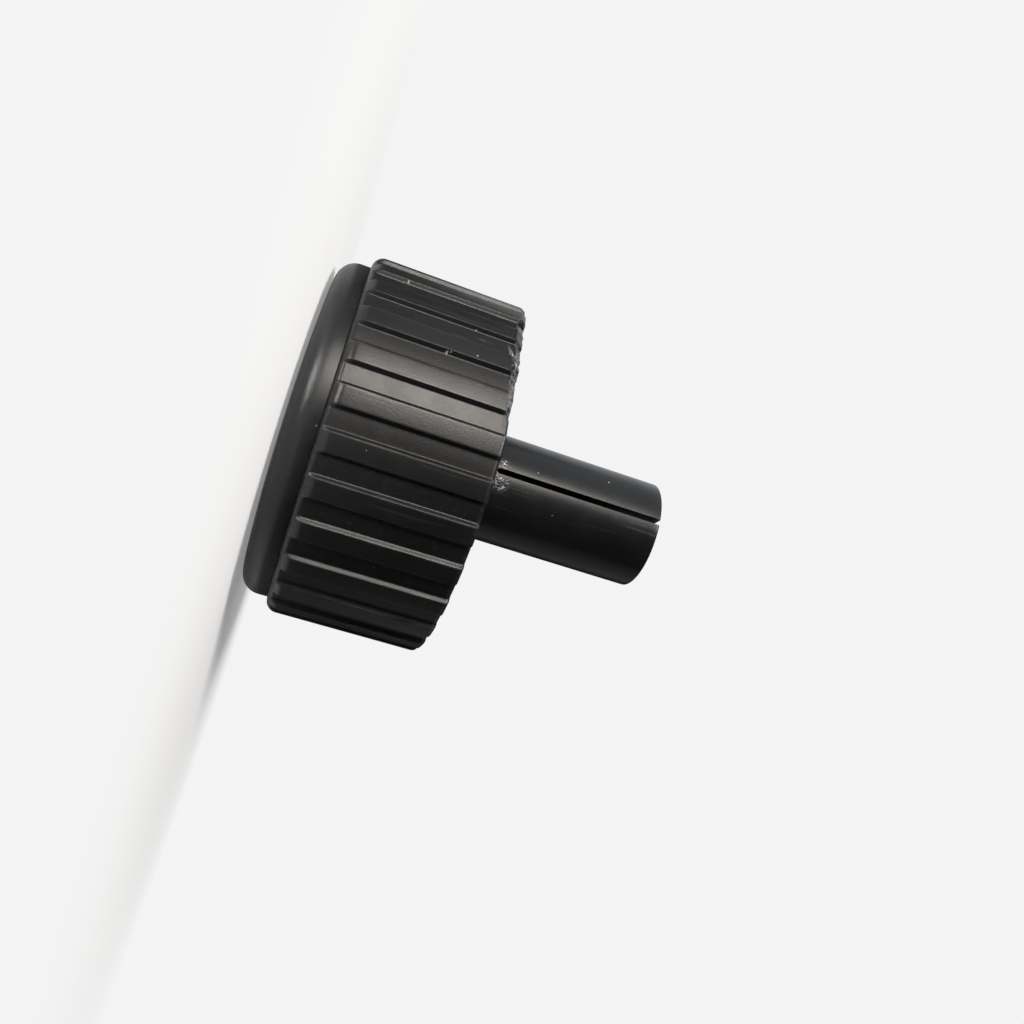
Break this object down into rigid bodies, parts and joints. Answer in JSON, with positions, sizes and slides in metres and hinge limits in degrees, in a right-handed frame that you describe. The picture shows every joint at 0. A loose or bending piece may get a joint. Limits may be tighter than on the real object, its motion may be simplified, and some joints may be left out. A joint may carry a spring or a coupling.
{
  "type": "control knob",
  "caption": "Black round control knob with a low domed face, a ribbed grip sleeve and a long hollow stem split at its end to grip a shaft.",
  "frame": {"origin": "centre of the domed face, on the surface the knob stands on", "axes": "+Z along the turning axis from the face to the stem's tip; +X towards the side that the picture shows"},
  "size_m": [0.036, 0.036, 0.038],
  "materials": {
    "satin_black_plastic": "satin moulded plastic",
    "grip_black_plastic": "matte moulded plastic, worn at the rear rim"
  },
  "bodies": {
    "root": {"knob_body": "satin_black_plastic", "grip_sleeve": "grip_black_plastic"}
  },
  "joints": []
}
